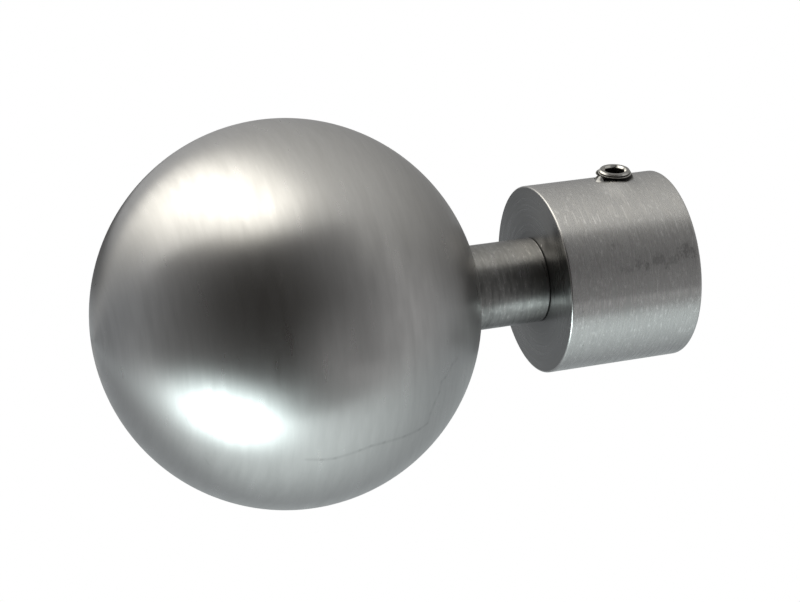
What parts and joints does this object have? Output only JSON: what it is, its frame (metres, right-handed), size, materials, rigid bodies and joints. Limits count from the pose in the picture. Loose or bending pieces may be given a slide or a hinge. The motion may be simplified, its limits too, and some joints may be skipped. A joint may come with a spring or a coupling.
{
  "type": "curtain pole finial",
  "caption": "Brushed steel ball finial for the end of a round curtain pole: hollow ball, turned neck and a socket cap clamped by a grub screw.",
  "frame": {"origin": "where the axis of the pole's socket meets the floor of the socket", "axes": "+X along the socket's axis, out of its mouth, the way the pole leaves; the ball is on the -X side. +Z out along the grub screw."},
  "size_m": [0.0935, 0.06, 0.06],
  "materials": {
    "brushed_steel": "stainless steel with a fine brush grain that runs round the finial's axis",
    "turned_steel": "plain turned steel, inside the ball",
    "plated_screw": "bright nickel-plated steel"
  },
  "bodies": {
    "finial": {"ball_shell": "brushed_steel", "threaded_bush": "turned_steel", "neck": "brushed_steel", "pole_cap": "brushed_steel", "assembly_screw": "plated_screw"},
    "grub_screw": {"grub_screw": "plated_screw"}
  },
  "joints": [
    {"name": "grub_screw_travel", "type": "slide", "parent": "finial", "child": "grub_screw", "axis": [0, 0, -1], "range_m": [-0.001, 0.00175]}
  ]
}
